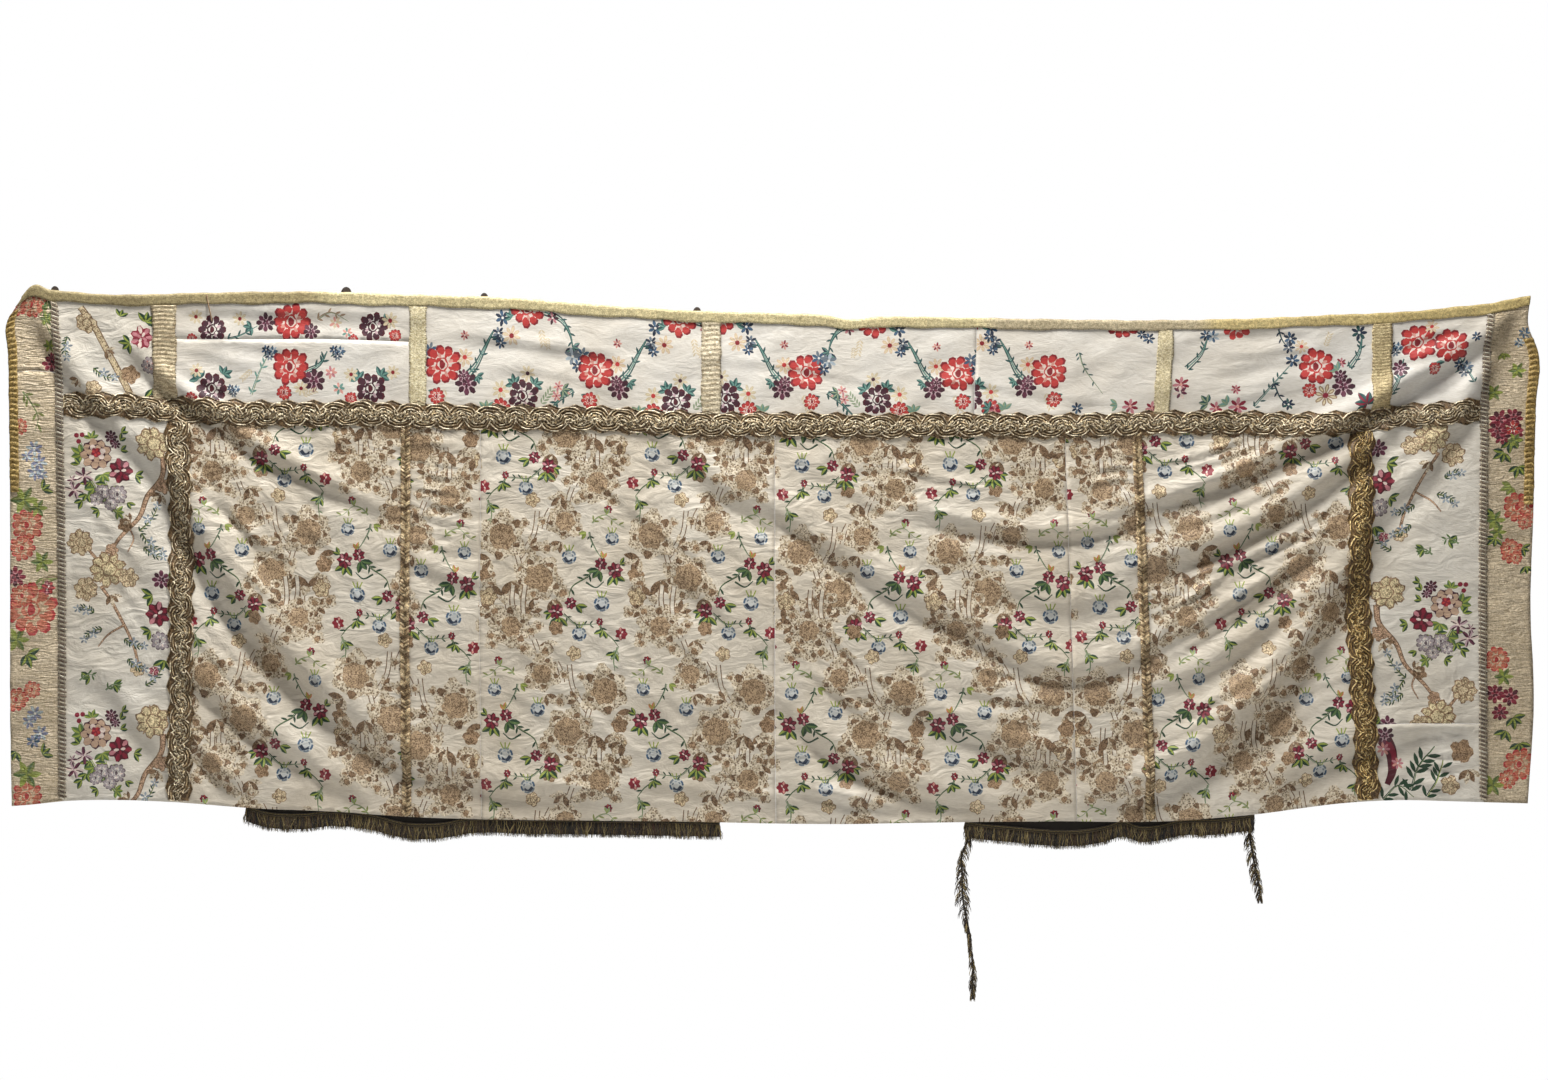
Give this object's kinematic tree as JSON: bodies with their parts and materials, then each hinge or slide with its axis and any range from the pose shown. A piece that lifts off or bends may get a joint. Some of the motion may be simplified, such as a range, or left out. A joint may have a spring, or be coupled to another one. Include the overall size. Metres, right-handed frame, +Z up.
{
  "type": "altar frontal",
  "caption": "Wide pieced silk altar frontal with a frontlet, gold lace over its seams, a bound top edge and a partly torn fringe behind the hem, hanging in soft folds.",
  "frame": {"origin": "middle of the top edge, on the front face", "axes": "+X to the right along the top edge as seen from the front, +Z up, the front faces -Y"},
  "size_m": [2.8142, 0.0424, 1.3177],
  "materials": {
    "frontlet_silk": "brocaded silk, near white",
    "field_silk": "brocaded silk with tan lame",
    "orphrey_silk": "brocaded silk, cream",
    "edge_silk": "lame silk, tan beige",
    "gold_lace": "aged metal lace",
    "pale_galloon": "pale gold woven braid",
    "yellow_gimp": "gathered yellow braid",
    "fringe_thread": "dark brown and old gold thread",
    "dark_tape": "dark woven tape"
  },
  "bodies": {
    "root": {"frontlet_a": "orphrey_silk", "orphrey_left": "orphrey_silk", "orphrey_right": "orphrey_silk", "orphrey_foot": "orphrey_silk", "edge_left_upper": "edge_silk", "edge_left_lower": "edge_silk", "edge_right": "edge_silk", "frontlet_b_upper": "frontlet_silk", "frontlet_b_lower": "frontlet_silk", "frontlet_c": "frontlet_silk", "frontlet_d": "frontlet_silk", "frontlet_e": "frontlet_silk", "frontlet_f": "frontlet_silk", "frontlet_g": "frontlet_silk", "field_a": "field_silk", "field_b": "field_silk", "field_c": "field_silk", "field_d": "field_silk", "field_e": "field_silk", "field_f": "field_silk", "top_binding": "pale_galloon", "fringe_left": "fringe_thread", "fringe_right": "fringe_thread", "fringe_tail_left": "fringe_thread", "fringe_tail_right": "fringe_thread", "cross_lace": "gold_lace", "side_lace_left": "gold_lace", "side_lace_right": "gold_lace", "galloon_a": "gold_lace", "galloon_c": "gold_lace", "galloon_e": "gold_lace", "field_braid_left": "gold_lace", "field_braid_right": "gold_lace", "ladder_braid_left": "gold_lace", "ladder_braid_right": "gold_lace", "galloon_b": "pale_galloon", "galloon_d": "pale_galloon", "loose_tie": "pale_galloon", "gimp_left": "yellow_gimp", "gimp_right": "yellow_gimp", "tab_a": "dark_tape", "tab_b": "dark_tape", "tab_c": "dark_tape", "tab_d": "dark_tape"}
  },
  "joints": []
}
